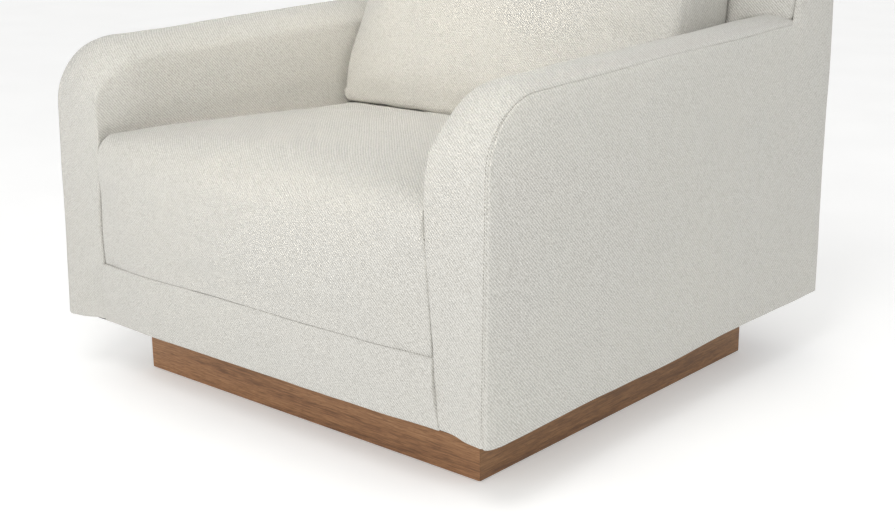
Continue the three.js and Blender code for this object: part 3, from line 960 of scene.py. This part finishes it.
def add_back_cushion():
    """The loose back cushion, which stands on the seat cushion and leans on the inside back."""
    bottom, top, half = rear_cushion_low.z, BACK_CUSHION_TOP, BACK_CUSHION_HALF
    outline = rounded_outline(
        [
            (BACK_CUSHION_FRONT, bottom + 0.002, 0.012),
            (back_face(SEAT_TOP_REAR) - OFF_BACK, bottom + 0.001, 0.030),
            (back_face(top) - OFF_BACK, top, 0.050),
            (BACK_CUSHION_FRONT_TOP, top, 0.055),
        ],
        0.009,
    )
    span, edges = (-half, half), (0.020, 0.020)
    piece = pillow("back_cushion_cover", outline, span, edges, "YZX", rings=10, walls=80)
    points = points_of(piece.data)
    share = points[:, 0] / half
    across = np.clip(1 - np.abs(share) ** 2.4, 0, 1)
    height = (points[:, 2] - bottom) / (top - bottom)
    along = np.clip(1 - np.abs(2 * height - 1) ** 2.4, 0, 1)
    lean_front = BACK_CUSHION_FRONT + (BACK_CUSHION_FRONT_TOP - BACK_CUSHION_FRONT) * height
    front = smoothstep(points[:, 1], lean_front + 0.05, lean_front + 0.005)
    points[:, 1] -= BACK_CUSHION_CROWN * front * across * along
    above_belly = points[:, 2] - bottom - BACK_CUSHION_BELLY_HEIGHT
    belly = np.exp(-((above_belly / BACK_CUSHION_BELLY_REACH) ** 2))
    points[:, 1] -= BACK_CUSHION_BELLY * front * belly
    move_points(piece.data, points)
    recalculate_outside(piece)
    roughen(piece, [(0.18, 0.0025), (0.06, 0.0008)], 71)
    at_rest = np.abs(points_of(piece.data)[:, 0])

    def limits(points):
        # The sides don't pull in, because the cushion is squeezed between the arms.
        sideways = np.clip(np.abs(points[:, 0]), at_rest, half + BACK_CUSHION_SIDE_LIMIT)
        points[:, 0] = np.copysign(sideways, points[:, 0])
        points[:, 1] = np.minimum(points[:, 1], back_face(points[:, 2]) - OFF_BACK)
        points[:, 2] = np.maximum(points[:, 2], bottom)
        return points

    free = 0.35 + 0.65 * smoothstep(points_of(piece.data)[:, 2], bottom + 0.005, bottom + 0.055)
    puff(piece, BACK_CUSHION_PRESSURE, BACK_CUSHION_CAP, free, limits)
    return piece


# ---- Assembly ----

bpy.context.scene.view_settings.view_transform = "Standard"

upholstery = upholstery_material()
# The stitches' thread is darker than the cover: partly its own tone, partly painted shade of the seam's
# groove.
thread = matted_material("thread", linear(118, 114, 104), linear(152, 148, 138), 2400.0, 0.0001)
# Each wood's dark, middle and light tones.
WALNUT = linear(104, 70, 44), linear(152, 109, 72), linear(178, 134, 94)
PALE_WOOD = linear(158, 120, 78), linear(199, 164, 117), linear(221, 190, 146)
SIDE_BOARD_SHADE = (0.68, 0.68, 0.62)  # the side boards are darkened: painted shade, for the lesser light on the plinth's sides
BOARD_BEVEL = 0.0008
WELD_DISTANCE = 1e-5

ROOT, SEAT_BODY, BACK_BODY = "chair", "seat_cushion", "back_cushion"


def dress(piece, body, *nodes, fill=None):
    """Gives an upholstered piece its material and its body, and hides the CAD pads it stands for."""
    piece.data.materials.clear()
    piece.data.materials.append(upholstery)
    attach(piece, body)
    if nodes:
        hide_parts(*nodes)


for name, side in (("left", -1), ("right", 1)):
    cover = add_arm_cover(name, side)
    dress(cover, ROOT, f"arm_front_and_top_{name}", f"arm_inner_pad_{name}", fill=0.9)
    bpy.context.view_layer.update()
    stitches = add_seam_stitches(name, side, cover)
    dress(stitches, ROOT)
    stitches.data.materials[0] = thread
    dress(add_side_panel(name, side), ROOT, f"side_panel_{name}", fill=0.9)

dress(add_rail_cover(), ROOT, "front_rail_cover", fill=0.9)
dress(add_deck(), ROOT, "seat_deck_cover", fill=0.9)
dress(add_outside_back(), ROOT, "outside_back_panel", fill=0.9)
dress(add_inside_back(), ROOT, "inside_back_pad", fill=0.8)
dress(add_seat_cushion(), SEAT_BODY, "seat_cushion", fill=0.8)
dress(add_back_cushion(), BACK_BODY, "back_cushion", fill=0.75)


def finish_nodes():
    """Gives every CAD node that stays its own finish."""
    steel, plywood, webbing = steel_material(), plywood_material(), webbing_material()
    felt = matted_material("felt", linear(52, 49, 46), linear(92, 88, 83), 1400.0, 0.0006)
    cambric = matted_material("cambric", linear(26, 26, 27), linear(58, 58, 60), 900.0, 0.0002)
    boards = (("plinth_front", "X"), ("plinth_rear", "X"), ("plinth_left", "Y"), ("plinth_right", "Y"))
    walnut = {}
    for seed, (node, grain) in enumerate(boards, 1):
        tones = WALNUT
        # Painted shade: the side boards' tones are darkened, as the plinth's sides get less light.
        if grain == "Y":
            tones = [tuple(a * b for a, b in zip(tone, SIDE_BOARD_SHADE)) for tone in tones]
        walnut[node] = wood_material(node, grain, *tones, seed)
    pale = {
        grain: wood_material(f"hardwood_{grain.lower()}", grain, *PALE_WOOD, seed, 0.7)
        for seed, grain in enumerate("XYZ", 11)
    }
    by_slot = {
        "spring_steel": steel,
        "plywood": plywood,
        "webbing": webbing,
        "felt": felt,
        "cambric": cambric,
    }
    for entry in frame["record"]["subparts"]:
        node = frame["nodes"][entry["node"]]
        if node.hide_render:
            continue
        low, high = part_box(entry["node"])
        longest = "XYZ"[max(range(3), key=lambda k: high[k] - low[k])]
        finish = walnut.get(entry["node"]) or by_slot.get(entry["material_slot"]) or pale[longest]
        node.data.materials.clear()
        node.data.materials.append(finish)
        if entry["node"] in walnut:
            weld = node.modifiers.new("weld", "WELD")
            weld.merge_threshold = WELD_DISTANCE
            bevel = node.modifiers.new("bevel", "BEVEL")
            bevel.width, bevel.segments, bevel.limit_method = BOARD_BEVEL, 2, "ANGLE"


finish_nodes()


FLOOR_HALF = 30.0
FLOOR_GLOW = 0.24  # keeps the floor near white in soft light


def add_floor():
    corners = [(x * FLOOR_HALF, y * FLOOR_HALF, 0) for x, y in ((-1, -1), (1, -1), (1, 1), (-1, 1))]
    floor = link("floor", mesh_from("floor", corners, [(0, 1, 2, 3)]))
    graph = Graph("floor")
    tone = graph.noise(graph.place(), 3.0, 3.0)
    colour = graph.ramp(tone, [(0.3, linear(243, 243, 242)), (0.7, linear(248, 248, 247))])
    glow = {"Emission_Color": (1, 1, 1, 1), "Emission_Strength": FLOOR_GLOW}
    floor.data.materials.append(graph.finish(colour, 0.8, Specular_IOR_Level=0.2, **glow))


add_floor()
add_world((1.0, 1.0, 1.0), (0.60, 0.60, 0.60), 0.99)
add_area_light("key", (0.7, -1.9, 2.6), (-0.2, 0.1, 0.5), 1.2, 23)
add_area_light("front", (1.3, -3.0, 1.8), (-0.1, 0.1, 0.5), 1.2, 14)
add_area_light("side", (2.6, -1.3, 2.2), (-0.2, 0, 0.5), 1.5, 4)
add_area_light("inside", (0.75, -1.3, 1.25), (-0.28, 0.14, 0.53), 0.5, 0.92, 40, (1.0, 0.93, 0.80))
add_camera()
